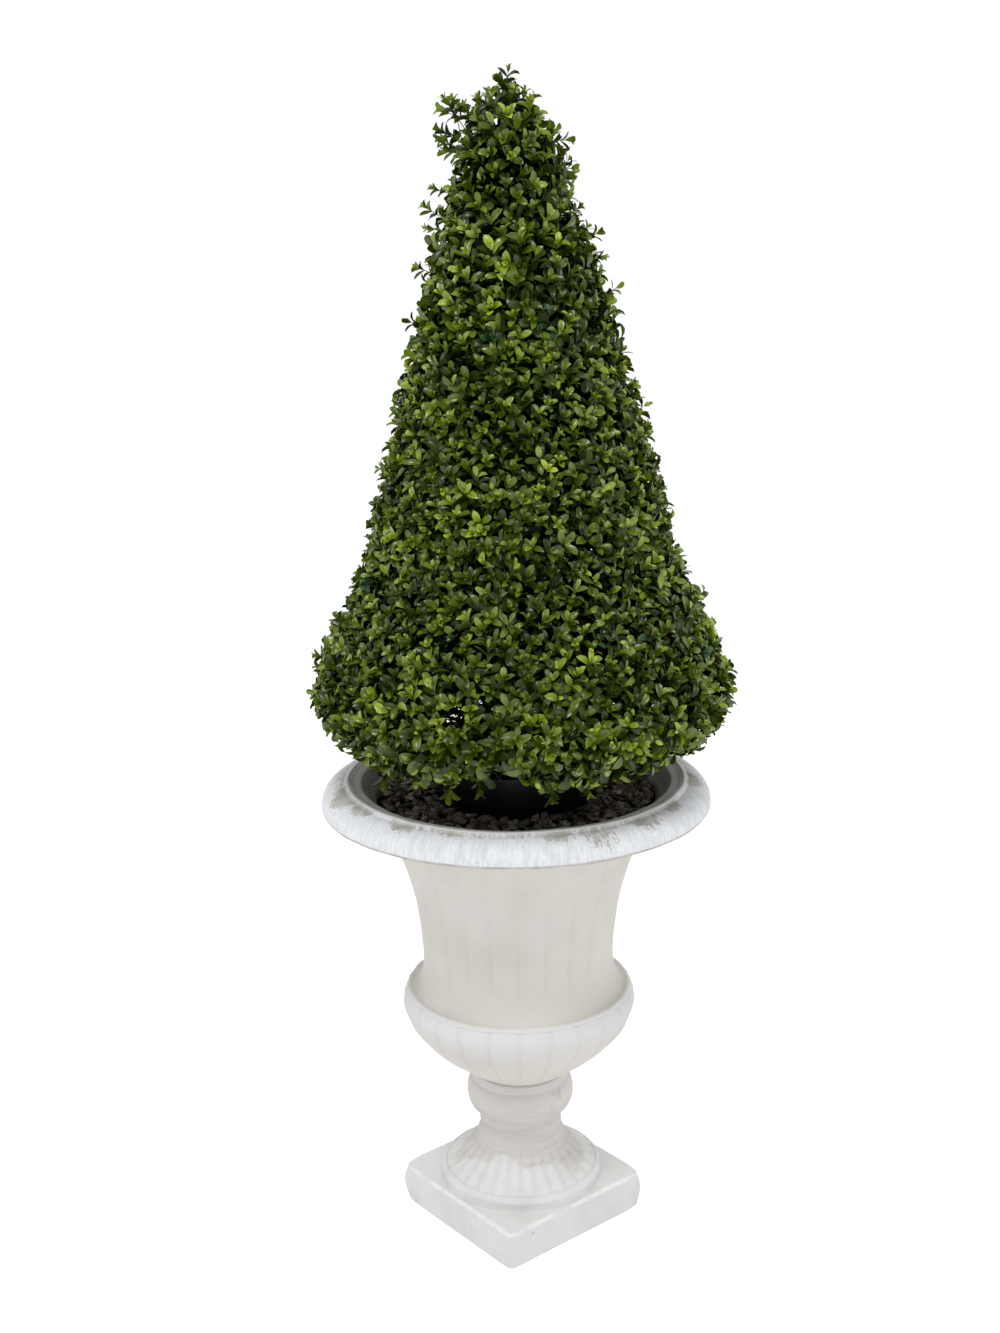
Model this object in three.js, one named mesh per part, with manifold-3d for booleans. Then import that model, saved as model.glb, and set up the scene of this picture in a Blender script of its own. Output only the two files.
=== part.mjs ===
// A clipped boxwood cone on a pole, in its own small pot, bedded in gravel in a two-piece fluted urn.
// Millimetres, +Z up. The origin is the middle of the plinth's underside, and the plinth's sides run
// along X and Y.

import * as THREE from 'three';
import { mergeVertices } from 'three/addons/utils/BufferGeometryUtils.js';
import Module from 'manifold-3d';

const wasm = await Module();
wasm.setup();

// ---------------------------------------------------------------------------------------------
// Driving dimensions
// ---------------------------------------------------------------------------------------------

const CLEAR = 0.3; // between two pieces that rest on or stand in each other
const DEGREE = Math.PI / 180;

const PLINTH = { side: 262, height: 54, bevel: 6, corner: 9 };
const RING = { radius: 121.5, height: 17.5, segments: 48 };
const FOOT = { radius: 113, neckRadius: 61, top: 146, flutes: 28, turn: -1.6 * DEGREE, depth: 4.5 };
const COLLAR = { radius: 66, bottom: 158, height: 5 }; // between the neck and the knop
const KNOP = { radius: 79.2, middle: 189, seat: 58, top: 220, segments: 36 };

const BOWL = { maxRadius: 170, maxHeight: 336, topRadius: 166.5, topHeight: 353 };
const LOBES = { count: 24, turn: 5.2 * DEGREE, depth: 5, segments: 3 };
const LIP = { radius: 164, middle: 358.7, half: 4.8 };
const SHOULDER = [[151, 363.3], [143.5, 376]]; // [radius, height] from inside the lip up to the body
const BODY = {
  radius: 139.2,
  bottom: 398,
  swell: [[139.4, 430], [146, 490], [161.4, 550], [179, 592]], // [radius, height] on the way up
  flare: 213,
  top: 653,
  fluteDepth: 2.2,
};
const RIM = { radius: 277.7, bottom: 647, moulding: 242, bead: 238, height: 682 };
const MOUTH = { radius: 218.8, height: 677 }; // the rim's inner edge
const WALL = 13; // of the urn's body

const CAVITY_FLOOR = 420;
const GRAVEL = { top: 657, segments: 36 };
const POT = { base: 560, baseRadius: 84, top: 709, radius: 103, band: 107.5, bandBottom: 665, wall: 2.5 };
const FILL_TOP = 690;
const STEM = { radius: 8, base: 610, top: 1560, sides: 12 };

const CROWN = {
  hem: 712, // lowest leaf tips
  tip: 1620, // top of the clipped outline, below the leading sprig
  coreInset: 31, // from the clipped outline to the core
  coreWall: 24,
  coreHem: 748,
  coreTop: 1598,
  domeHeight: 1490, // above this the core is solid around the stem
  coreSegments: 26,
  roughness: 9,
  fuller: 12, // how much further it stands out on its fuller side
  fullerSide: -40 * DEGREE,
};
const SPRAYS = 71;
const LEAF = { length: 56, width: 28, thickness: 3, arch: 0.1 };
const WHORL = { leaves: 4, radius: 5, spread: 50 };
const TWIG = { length: 34, leaf: 38 };
const TWIG_RADIUS = 2.8;
const ROOT_DEPTH = 9; // of a twig in the core

// ---------------------------------------------------------------------------------------------
// Helpers
// ---------------------------------------------------------------------------------------------

// Small seeded generator, so that every run grows the same crown.
function seededRandom(seed) {
  let state = seed;
  return () => {
    state = (state + 0x6d2b79f5) | 0;
    let t = Math.imul(state ^ (state >>> 15), 1 | state);
    t = (t + Math.imul(t ^ (t >>> 7), 61 | t)) ^ t;
    return ((t ^ (t >>> 14)) >>> 0) / 4294967296;
  };
}

function points(...pairs) {
  return pairs.map(([r, z]) => new THREE.Vector2(r, z));
}

// Smooth curve through a few [radius, height] pairs.
function curve(steps, ...pairs) {
  return new THREE.SplineCurve(points(...pairs)).getPoints(steps);
}

// Arc of an ellipse, angles in degrees, counter-clockwise from +radius.
function arc(steps, r, z, radiusR, radiusZ, from, to) {
  const list = [];
  for (let i = 0; i <= steps; i++) {
    const angle = (from + ((to - from) * i) / steps) * DEGREE;
    list.push(new THREE.Vector2(r + radiusR * Math.cos(angle), z + radiusZ * Math.sin(angle)));
  }
  return list;
}

function radiusAt(outline, z) {
  for (let i = 1; i < outline.length; i++) {
    const low = outline[i - 1];
    const high = outline[i];
    if (z <= high.y) return low.x + ((high.x - low.x) * (z - low.y)) / (high.y - low.y);
  }
  return outline[outline.length - 1].x;
}

// Closed mesh to solid: shared vertices are merged and the collapsed triangles at poles dropped.
function toSolid(geometry) {
  const bare = geometry.clone();
  bare.deleteAttribute('normal');
  bare.deleteAttribute('uv');
  const merged = mergeVertices(bare, 1e-4);
  const index = merged.index.array;
  const triangles = [];
  for (let i = 0; i < index.length; i += 3) {
    const [a, b, c] = [index[i], index[i + 1], index[i + 2]];
    if (a !== b && b !== c && c !== a) triangles.push(a, b, c);
  }
  return new wasm.Manifold(
    new wasm.Mesh({
      numProp: 3,
      vertProperties: new Float32Array(merged.attributes.position.array),
      triVerts: new Uint32Array(triangles),
    }),
  );
}

function toGeometry(solid) {
  const mesh = solid.getMesh();
  const geometry = new THREE.BufferGeometry();
  geometry.setAttribute('position', new THREE.BufferAttribute(mesh.vertProperties, 3));
  geometry.setIndex(new THREE.BufferAttribute(mesh.triVerts, 1));
  geometry.computeVertexNormals();
  return geometry;
}

// The triangles of a mesh's largest shell: pockets sealed by joining are filled, loose scraps dropped.
function largestShell(geometry) {
  const index = geometry.index.array;
  const parent = Array.from({ length: geometry.attributes.position.count }, (_, i) => i);
  const find = (i) => {
    while (parent[i] !== i) {
      parent[i] = parent[parent[i]];
      i = parent[i];
    }
    return i;
  };
  for (let i = 0; i < index.length; i += 3) {
    parent[find(index[i])] = find(index[i + 1]);
    parent[find(index[i + 1])] = find(index[i + 2]);
  }
  const shells = new Map();
  for (let i = 0; i < index.length; i += 3) {
    const shell = find(index[i]);
    if (!shells.has(shell)) shells.set(shell, []);
    shells.get(shell).push(index[i], index[i + 1], index[i + 2]);
  }
  const largest = [...shells.values()].sort((a, b) => b.length - a.length)[0];
  geometry.setIndex(largest);
  return geometry;
}

// Joins many solids pairwise, so that none is joined to a large one more often than needed.
function join(solids) {
  let list = solids;
  while (list.length > 1) {
    const next = [];
    for (let i = 0; i < list.length; i += 2) {
      next.push(i + 1 < list.length ? list[i].add(list[i + 1]) : list[i]);
    }
    list = next;
  }
  return list[0];
}

// A turned solid about Z. relief(angle, radius, height) is how far its surface is cut back.
function turned(outline, segments, turn = 0, relief = null) {
  const geometry = new THREE.LatheGeometry(outline, segments);
  geometry.rotateX(Math.PI / 2);
  if (relief) {
    const position = geometry.attributes.position;
    for (let i = 0; i < position.count; i++) {
      const [x, y, z] = [position.getX(i), position.getY(i), position.getZ(i)];
      const radius = Math.hypot(x, y);
      if (radius < 1) continue;
      const scale = 1 - relief(Math.atan2(y, x), radius, z) / radius;
      position.setXYZ(i, x * scale, y * scale, z);
    }
  }
  geometry.rotateZ(turn);
  return toSolid(geometry);
}

// Convex lobes with a crease between them: 0 at a lobe's crest, 1 in the crease, count to a turn.
function crease(angle, count) {
  return 1 - Math.abs(Math.sin((angle * count) / 2));
}

function smoothStep(low, high, value) {
  return THREE.MathUtils.smoothstep(value, low, high);
}

// ---------------------------------------------------------------------------------------------
// Urn
// ---------------------------------------------------------------------------------------------

function roundedSquare(side, corner) {
  const h = side / 2;
  const c = corner;
  const shape = new THREE.Shape();
  shape.moveTo(-h + c, -h);
  shape.lineTo(h - c, -h);
  shape.absarc(h - c, -h + c, c, -Math.PI / 2, 0);
  shape.lineTo(h, h - c);
  shape.absarc(h - c, h - c, c, 0, Math.PI / 2);
  shape.lineTo(-h + c, h);
  shape.absarc(-h + c, h - c, c, Math.PI / 2, Math.PI);
  shape.lineTo(-h, -h + c);
  shape.absarc(-h + c, -h + c, c, Math.PI, Math.PI * 1.5);
  return shape;
}

function plinth() {
  const { side, height, bevel, corner } = PLINTH;
  const block = new THREE.ExtrudeGeometry(roundedSquare(side - 2 * bevel, corner), {
    depth: height - bevel,
    bevelThickness: bevel,
    bevelSize: bevel,
    bevelSegments: 2,
    curveSegments: 3,
  });
  const below = new THREE.BoxGeometry(2 * side, 2 * side, 2 * bevel);
  below.translate(0, 0, -bevel);
  return toSolid(block).subtract(toSolid(below));
}

// The pieces of the pedestal are sunk a little into each other before they are joined.
const SUNK = 2;

function ring() {
  const base = PLINTH.height - SUNK;
  const middle = PLINTH.height + RING.height / 2;
  const half = RING.height / 2;
  const edge = RING.radius - half;
  const outline = [
    ...points([0, base], [edge, base]),
    ...arc(5, edge, middle, half, half, -90, 90),
    ...points([0, PLINTH.height + RING.height]),
  ];
  return turned(outline, RING.segments);
}

// The foot's flutes stand on the ring and die out towards the neck.
function foot() {
  const base = PLINTH.height + RING.height - SUNK;
  const outline = [
    ...points([0, base], [FOOT.radius, base]),
    ...curve(5, [FOOT.radius, base + SUNK], [96, 84], [71.5, 108], [FOOT.neckRadius, 137]),
    ...points([FOOT.neckRadius, FOOT.top], [0, FOOT.top]),
  ];
  const relief = (angle, radius, z) => {
    const fade = 1 - smoothStep(base + 14, FOOT.top - 12, z);
    return FOOT.depth * fade * crease(angle, FOOT.flutes);
  };
  return turned(outline, FOOT.flutes * LOBES.segments, FOOT.turn, relief);
}

function knop() {
  const neck = FOOT.neckRadius - 0.4;
  const top = COLLAR.bottom + COLLAR.height;
  const outline = [
    ...points([0, FOOT.top - SUNK], [neck, FOOT.top - SUNK], [neck, COLLAR.bottom - 7]),
    ...points([COLLAR.radius, COLLAR.bottom], [COLLAR.radius, top]),
    ...arc(4, COLLAR.radius, KNOP.middle, KNOP.radius - COLLAR.radius, KNOP.middle - top, -78, 70),
    ...points([KNOP.seat, KNOP.top], [0, KNOP.top]),
  ];
  return turned(outline, KNOP.segments);
}

function urnPedestal() {
  return toGeometry(join([plinth(), ring(), foot(), knop()]));
}

// The inside of the urn, from its floor up to the gravel, drawn in by inset.
function cavityOutline(inset) {
  const floor = CAVITY_FLOOR + inset;
  const wall = [[BODY.radius, floor], ...BODY.swell, [BODY.flare, GRAVEL.top]];
  return [
    new THREE.Vector2(0, floor),
    ...wall.map(([outside, z]) => new THREE.Vector2(outside - WALL - inset, z)),
  ];
}

// The rim's moulding: its underside, the round face with the bead behind it, and the band that falls inwards.
function rimOutline() {
  const { radius, bottom, moulding, bead, height } = RIM;
  return [
    ...points([radius - 2, bottom - 3]),
    ...arc(3, moulding, bottom + 1, radius - moulding, height - bottom - 5, 0, 84),
    ...points([bead + 4, height - 1], [bead - 3, height], [MOUTH.radius, MOUTH.height], [0, MOUTH.height]),
  ];
}

function urnBowl() {
  const start = KNOP.top + CLEAR;
  const { maxRadius, maxHeight, topRadius, topHeight } = BOWL;
  const outline = [
    ...points([0, start], [KNOP.seat, start]),
    ...curve(5, [KNOP.seat + 1, start + 2], [88.4, 240], [128.6, 272], [157, 304], [maxRadius, maxHeight]),
    ...points([topRadius, topHeight]),
    ...arc(2, LIP.radius - LIP.half, LIP.middle, LIP.half, LIP.half, -40, 100),
    ...points(...SHOULDER),
    ...curve(4, [BODY.radius, BODY.bottom], ...BODY.swell, [BODY.flare, BODY.top]),
    ...rimOutline(),
  ];
  const above = RIM.height + 5;
  const cavity = [
    ...cavityOutline(0),
    ...points([MOUTH.radius, MOUTH.height - 2], [MOUTH.radius, above], [0, above]),
  ];
  const relief = (angle, radius, z) => {
    const lobed = smoothStep(start + 6, 290, z) * (1 - smoothStep(maxHeight, topHeight + 2, z));
    const fluted = smoothStep(BODY.bottom + 4, 440, z) * (1 - smoothStep(640, BODY.top, z));
    return (LOBES.depth * lobed + BODY.fluteDepth * fluted) * crease(angle, LOBES.count);
  };
  const whole = turned(outline, LOBES.count * LOBES.segments, LOBES.turn, relief);
  return toGeometry(whole.subtract(turned(cavity, GRAVEL.segments, LOBES.turn)));
}

// ---------------------------------------------------------------------------------------------
// Gravel, inner pot and stem
// ---------------------------------------------------------------------------------------------

// Half the pot's outline, from the middle of its base to the top of its tall band, grown by extra.
function potOutline(extra) {
  return points(
    [0, POT.base - extra],
    [POT.baseRadius + extra, POT.base - extra],
    [POT.radius + extra, POT.bandBottom - extra],
    [POT.band + extra, POT.bandBottom - extra],
    [POT.band + extra, POT.top],
  );
}

// The pot's inside, from the middle of its floor to a height in its band, drawn in by inset.
function potInside(inset, top) {
  const floor = POT.base + POT.wall + inset;
  const edge = POT.radius - POT.wall - inset;
  return points([0, floor], [POT.baseRadius - POT.wall - inset, floor], [edge, POT.bandBottom], [edge, top]);
}

function gravelBed() {
  const bed = turned([...cavityOutline(CLEAR), ...points([0, GRAVEL.top])], GRAVEL.segments, LOBES.turn);
  const pocket = turned([...potOutline(CLEAR), ...points([0, POT.top])], GRAVEL.segments);
  return toGeometry(bed.subtract(pocket));
}

function innerPot() {
  return toGeometry(turned([...potOutline(0), ...potInside(0, POT.top).reverse()], GRAVEL.segments));
}

function stemOutline(extra) {
  const low = STEM.base - extra;
  const high = STEM.top + extra;
  return points([0, low], [STEM.radius + extra, low], [STEM.radius + extra, high], [0, high]);
}

function potFill() {
  const plug = turned([...potInside(CLEAR, FILL_TOP), ...points([0, FILL_TOP])], GRAVEL.segments);
  return toGeometry(plug.subtract(turned(stemOutline(CLEAR), STEM.sides)));
}

function stem() {
  return toGeometry(turned(stemOutline(0), STEM.sides));
}

// ---------------------------------------------------------------------------------------------
// Crown: a hollow clipped core, with short twigs and leaves standing out of it
// ---------------------------------------------------------------------------------------------

// Clipped outline, from the hem to the top: a bell skirt, a long slope and a blunt head.
function clippedLine(steps) {
  return curve(
    steps,
    [212, CROWN.hem],
    [267, 760],
    [292, 812],
    [267, 898],
    [217, 1000],
    [188, 1120],
    [139, 1290],
    [108, 1405],
    [80, 1475],
    [65, 1533],
    [47, 1585],
    [14, CROWN.tip],
  );
}

const crownOutline = clippedLine(60);

// How far the outline is pushed out at an angle: most on the skirt's fuller side, nothing at the top.
function fullness(angle, z) {
  const fade = 1 - smoothStep(1250, 1560, z);
  return CROWN.fuller * fade * Math.cos(angle - CROWN.fullerSide);
}

function crownCore(random) {
  const { coreInset, coreWall, coreHem, coreTop, domeHeight, coreSegments } = CROWN;
  const line = clippedLine(15).filter((p) => p.y > coreHem + 10 && p.y < coreTop - 8);
  const drawnIn = (list, inset) => list.map((p) => new THREE.Vector2(p.x - inset, p.y));
  const inner = drawnIn(line.filter((p, i) => i % 2 === 1 && p.y < domeHeight - 60), coreInset + coreWall);
  const hemRadius = radiusAt(crownOutline, coreHem) - coreInset;
  const outline = [
    new THREE.Vector2(hemRadius, coreHem),
    ...drawnIn(line, coreInset),
    ...points([0, coreTop], [0, domeHeight]),
    ...inner.reverse(),
    ...points([hemRadius - coreWall, coreHem], [hemRadius, coreHem]),
  ];
  const push = (angle, radius, z) => -fullness(angle, z);
  return roughened(turned(outline, coreSegments, 0, push), CROWN.roughness, random);
}

// Moves each point of a solid a little, in or out from the axis, for an uneven clipped surface.
function roughened(solid, amount, random) {
  const geometry = toGeometry(solid);
  const position = geometry.attributes.position;
  for (let i = 0; i < position.count; i++) {
    const [x, y] = [position.getX(i), position.getY(i)];
    const radius = Math.hypot(x, y);
    if (radius < 1) continue;
    const scale = 1 + (amount * (random() - 0.5)) / radius;
    position.setXYZ(i, x * scale, y * scale, position.getZ(i));
  }
  return toSolid(geometry);
}

// One leaf: two three-sided points back to back, flat below and ridged above, arched along its length.
function leafSolid(root, along, above, length) {
  const side = new THREE.Vector3().crossVectors(above, along).normalize();
  const lift = new THREE.Vector3().crossVectors(along, side).normalize();
  const half = (LEAF.width * length) / LEAF.length / 2;
  const place = (a, s, l) =>
    root.clone().addScaledVector(along, a * length).addScaledVector(side, s).addScaledVector(lift, l);
  const arch = LEAF.arch * length;
  const corners = [
    place(0, 0, 0),
    place(1, 0, 0),
    place(0.56, -half, arch),
    place(0.56, half, arch),
    place(0.5, 0, arch + LEAF.thickness),
  ];
  const [base, tip, left, right, ridge] = [0, 1, 2, 3, 4];
  const faces = [
    [base, right, left],
    [base, left, ridge],
    [base, ridge, right],
    [tip, left, right],
    [tip, ridge, left],
    [tip, right, ridge],
  ];
  return closedSolid(corners, faces);
}

// A three-sided twig from root to end, tapering to a point.
function twigSolid(root, end, radius) {
  const along = end.clone().sub(root).normalize();
  const [u, v] = crossAxes(along);
  const corners = [end];
  for (let i = 0; i < 3; i++) {
    const angle = (i * 2 * Math.PI) / 3;
    const corner = root.clone().addScaledVector(u, radius * Math.cos(angle));
    corners.push(corner.addScaledVector(v, radius * Math.sin(angle)));
  }
  return closedSolid(corners, [
    [0, 1, 2],
    [0, 2, 3],
    [0, 3, 1],
    [1, 3, 2],
  ]);
}

// Two directions square to an axis.
function crossAxes(along) {
  const helper = Math.abs(along.z) > 0.9 ? new THREE.Vector3(1, 0, 0) : new THREE.Vector3(0, 0, 1);
  const u = new THREE.Vector3().crossVectors(along, helper).normalize();
  const v = new THREE.Vector3().crossVectors(along, u);
  return [u, v];
}

function closedSolid(corners, faces) {
  const geometry = new THREE.BufferGeometry().setFromPoints(corners);
  geometry.setIndex(faces.flat());
  return toSolid(geometry);
}

// A direction at a spread from out, turned round it by angle.
function leaning(out, spread, angle) {
  const [u, v] = crossAxes(out);
  const outward = u.multiplyScalar(Math.cos(angle)).addScaledVector(v, Math.sin(angle));
  return outward.multiplyScalar(Math.sin(spread)).addScaledVector(out, Math.cos(spread));
}

// A twig with opposite pairs of leaves, each pair turned a quarter from the one below.
function spray(root, out, length, pairs, leafLength, random) {
  const tip = root.clone().addScaledVector(out, length);
  const solids = [twigSolid(root, tip, TWIG_RADIUS)];
  const first = random() * Math.PI;
  for (let pair = 0; pair < pairs; pair++) {
    const share = 1 - (0.9 * (pair + 0.35)) / (pairs + 1);
    const node = root.clone().addScaledVector(out, length * share);
    const spread = (44 + 16 * pair + 8 * random()) * DEGREE;
    for (const turn of [0, Math.PI]) {
      const angle = first + turn + (pair * Math.PI) / 2 + 0.3 * (random() - 0.5);
      const size = leafLength * (0.88 + 0.24 * random());
      solids.push(leafSolid(node, leaning(out, spread, angle), out, size));
    }
  }
  return solids;
}

// A ring of leaves round a twig's foot, each rooted in the core.
function whorl(root, out, random) {
  const solids = [];
  const first = random() * Math.PI;
  for (let i = 0; i < WHORL.leaves; i++) {
    const angle = first + (i * 2 * Math.PI) / WHORL.leaves + 0.4 * (random() - 0.5);
    const spread = (WHORL.spread + 12 * (random() - 0.5)) * DEGREE;
    const foot = root.clone().addScaledVector(leaning(out, Math.PI / 2, angle), WHORL.radius);
    const size = LEAF.length * (0.85 + 0.25 * random());
    solids.push(leafSolid(foot, leaning(out, spread, angle), out, size));
  }
  return solids;
}

// A twig's root, sunk in the core at an angle and height, and the way that the clipped outline faces there.
function crownRoot(angle, z) {
  const step = 12;
  const slope = (radiusAt(crownOutline, z + step) - radiusAt(crownOutline, z - step)) / (2 * step);
  const facing = new THREE.Vector3(Math.cos(angle), Math.sin(angle), -slope).normalize();
  const radius = radiusAt(crownOutline, z) + fullness(angle, z) - CROWN.coreInset - ROOT_DEPTH;
  return { root: new THREE.Vector3(radius * Math.cos(angle), radius * Math.sin(angle), z), facing };
}

// Heights that share the crown's surface evenly between the sprays.
function evenHeights(count, low, high) {
  const steps = 400;
  const sums = [0];
  for (let i = 1; i <= steps; i++) {
    const z = low + ((high - low) * (i - 0.5)) / steps;
    sums.push(sums[i - 1] + radiusAt(crownOutline, z));
  }
  const heights = [];
  let i = 1;
  for (let n = 0; n < count; n++) {
    const want = (sums[steps] * (n + 0.5)) / count;
    while (sums[i] < want) i++;
    heights.push(low + ((high - low) * i) / steps);
  }
  return heights;
}

// Sprigs that the shears missed near the head: where they start, and how they lean and reach.
const LOOSE_SPRIGS = [
  { angle: 0, height: 1596, lean: 0.03, length: 16, pairs: 2 },
  { angle: 140, height: 1540, lean: 0.7, length: 58, pairs: 3 },
  { angle: 125, height: 1490, lean: 1.1, length: 50, pairs: 2 },
  { angle: -38, height: 1510, lean: 1.1, length: 58, pairs: 3 },
  { angle: -52, height: 1470, lean: 1.35, length: 50, pairs: 2 },
  { angle: 60, height: 1545, lean: 0.6, length: 52, pairs: 2 },
  { angle: 215, height: 1540, lean: 0.6, length: 52, pairs: 2 },
  { angle: 290, height: 1560, lean: 0.45, length: 46, pairs: 2 },
];

function looseSprigs(random) {
  const solids = [];
  for (const sprig of LOOSE_SPRIGS) {
    const angle = sprig.angle * DEGREE;
    const depth = CROWN.coreInset + 14;
    const radius = Math.max(radiusAt(crownOutline, sprig.height) - depth, 0) * (sprig.angle ? 1 : 0);
    const root = new THREE.Vector3(radius * Math.cos(angle), radius * Math.sin(angle), sprig.height - 10);
    const out = new THREE.Vector3(Math.sin(sprig.lean), 0, Math.cos(sprig.lean));
    out.applyAxisAngle(new THREE.Vector3(0, 0, 1), angle);
    solids.push(...spray(root, out, sprig.length + 20, sprig.pairs, LEAF.length * 0.7, random));
  }
  return solids;
}

function crown() {
  const random = seededRandom(11);
  const goldenAngle = Math.PI * (3 - Math.sqrt(5));
  const solids = [crownCore(random), ...looseSprigs(random)];
  const heights = evenHeights(SPRAYS, CROWN.coreHem + 8, CROWN.coreTop - 26);
  heights.forEach((z, n) => {
    const { root, facing } = crownRoot(n * goldenAngle, z);
    facing.z += z < 790 ? -0.45 : 0.25;
    facing.normalize();
    solids.push(...whorl(root, facing, random));
    solids.push(...spray(root, facing, TWIG.length * (0.85 + 0.3 * random()), 1, TWIG.leaf, random));
  });
  const whole = join(solids).subtract(turned(stemOutline(CLEAR), STEM.sides));
  return largestShell(toGeometry(whole));
}

// ---------------------------------------------------------------------------------------------
// Scene graph
// ---------------------------------------------------------------------------------------------

const STONE = { color: 0xd2d0cc, roughness: 0.85, metalness: 0 };
const STONES = { color: 0x25231a, roughness: 0.95, metalness: 0 };
const BLACK = { color: 0x0b0b0c, roughness: 0.45, metalness: 0 };
const BOXWOOD = { color: 0x3c4c22, roughness: 0.5, metalness: 0 };

function part(name, geometry, look) {
  const mesh = new THREE.Mesh(geometry, new THREE.MeshStandardMaterial(look));
  mesh.name = name;
  return mesh;
}

const topiary = new THREE.Group();
topiary.add(
  part('urn_pedestal', urnPedestal(), STONE),
  part('urn_bowl', urnBowl(), STONE),
  part('gravel_bed', gravelBed(), STONES),
  part('inner_pot', innerPot(), BLACK),
  part('pot_fill', potFill(), STONES),
  part('stem', stem(), BLACK),
  part('crown', crown(), BOXWOOD),
);

export default topiary;
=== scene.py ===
"""The looks of the boxwood cone topiary and its urn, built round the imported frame.

Everything is in metres in the frame's own axes: +Z up, the origin under the middle of the plinth.
Lengths that describe a shape are written in millimetres and scaled by MM.
"""

import itertools
import math

import bmesh
import bpy
import numpy as np
from mathutils import Matrix, Vector


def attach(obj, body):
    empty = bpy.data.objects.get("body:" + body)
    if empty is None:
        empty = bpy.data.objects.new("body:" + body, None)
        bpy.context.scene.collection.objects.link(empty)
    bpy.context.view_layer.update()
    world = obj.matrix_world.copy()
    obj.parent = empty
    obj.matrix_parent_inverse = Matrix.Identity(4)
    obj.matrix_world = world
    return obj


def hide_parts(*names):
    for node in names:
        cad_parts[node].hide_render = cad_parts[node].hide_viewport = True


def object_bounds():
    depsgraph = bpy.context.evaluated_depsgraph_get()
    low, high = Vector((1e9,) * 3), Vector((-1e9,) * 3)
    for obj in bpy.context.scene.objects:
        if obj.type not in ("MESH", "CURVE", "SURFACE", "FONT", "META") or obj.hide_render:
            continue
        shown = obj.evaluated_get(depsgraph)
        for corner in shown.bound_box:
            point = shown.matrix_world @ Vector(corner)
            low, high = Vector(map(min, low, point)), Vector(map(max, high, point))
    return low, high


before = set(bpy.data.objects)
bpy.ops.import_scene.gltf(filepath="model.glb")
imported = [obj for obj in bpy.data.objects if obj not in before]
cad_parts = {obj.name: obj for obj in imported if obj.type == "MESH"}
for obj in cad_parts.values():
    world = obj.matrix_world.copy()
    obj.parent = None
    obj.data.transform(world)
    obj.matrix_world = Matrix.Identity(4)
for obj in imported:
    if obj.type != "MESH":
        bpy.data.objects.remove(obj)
cad_low, cad_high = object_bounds()

MM = 0.001
rng = np.random.default_rng(21)

# The photograph's camera, in millimetres round the plinth's middle, and how it is aimed.
PHOTO_WIDTH, PHOTO_HEIGHT = 1000, 1333
FOCAL_PIXELS = 1680
CAMERA_AZIMUTH = math.radians(-39.8)
CAMERA_DISTANCE, CAMERA_HEIGHT = 2282, 1437
CAMERA_PITCH = math.radians(14.65)
CAMERA_YAW = math.radians(-0.50)
CAMERA_ROLL = math.radians(-0.94)
SENSOR = 36

# Urn, in millimetres: its mouldings' radii and heights, and how many lobes and flutes it has.
PLINTH_SIDE, PLINTH_HEIGHT, PLINTH_BEVEL, PLINTH_CORNER = 262, 54, 6, 9
RING_RADIUS, RING_HEIGHT = 121.5, 17.5
FOOT_RADIUS, NECK_RADIUS = 113, 61
FOOT_FLUTES, FOOT_TURN = 28, math.radians(-1.6)
KNOP_RADIUS, KNOP_MIDDLE, KNOP_SEAT, KNOP_TOP = 79.2, 189, 58, 220
LOBES, LOBE_TURN = 24, math.radians(5.2)
LIP_RADIUS, LIP_MIDDLE, LIP_HALF = 164, 358.7, 4.8
BODY_RADIUS, BODY_BOTTOM, BODY_FLARE, BODY_TOP = 139.2, 398, 213, 653
RIM_RADIUS, RIM_BOTTOM, RIM_MOULDING, RIM_BEAD, RIM_HEIGHT = 277.7, 647, 242, 238, 682
MOUTH_RADIUS, MOUTH_HEIGHT = 218.8, 677
TONGUES = 60
SPACING = 1.8  # between the points along most outlines

# Crown: the clipped outline as (radius, height), and the side on which it stands out more.
CLIPPED_LINE = [
    (212, 712), (267, 760), (292, 812), (267, 898), (217, 1000), (188, 1120),
    (139, 1290), (108, 1405), (80, 1475), (65, 1533), (47, 1585), (14, 1620),
]
FULLER, FULLER_SIDE = 12, math.radians(-40)
GOLDEN_ANGLE = math.pi * (3 - math.sqrt(5))


# ---- Curves, noise and meshes ----


def spline(points, steps):
    """Catmull-Rom curve through a few (radius, height) points."""
    p = np.array(points, float)
    last = len(p) - 1
    t = np.linspace(0, last, steps + 1)
    i = np.minimum(t.astype(int), last - 1)
    w = (t - i)[:, None]
    p0, p1, p2, p3 = p[np.maximum(i - 1, 0)], p[i], p[i + 1], p[np.minimum(i + 2, last)]
    v0, v1 = (p2 - p0) / 2, (p3 - p1) / 2
    return (2 * p1 - 2 * p2 + v0 + v1) * w**3 + (-3 * p1 + 3 * p2 - 2 * v0 - v1) * w**2 + v0 * w + p1


def arc(steps, r, z, radius_r, radius_z, start, end):
    """Arc of an ellipse in (radius, height), angles in degrees."""
    a = np.radians(np.linspace(start, end, steps + 1))
    return np.stack([r + radius_r * np.cos(a), z + radius_z * np.sin(a)], 1)


def run_length(p):
    """How far along a line each of its points lies."""
    return np.concatenate([[0], np.cumsum(np.hypot(*np.diff(p, axis=0).T))])


def evenly(*parts, spacing=SPACING):
    """One line through all the parts, with points at an even spacing and the corners kept."""
    p = np.concatenate([np.array(part, float) for part in parts])
    length = run_length(p)
    s = np.unique(np.concatenate([np.arange(0, length[-1], spacing), length]))
    return np.stack([np.interp(s, length, p[:, 0]), np.interp(s, length, p[:, 1])], 1)


def smoothstep(low, high, x):
    t = np.clip((x - low) / (high - low), 0, 1)
    return t * t * (3 - 2 * t)


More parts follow.
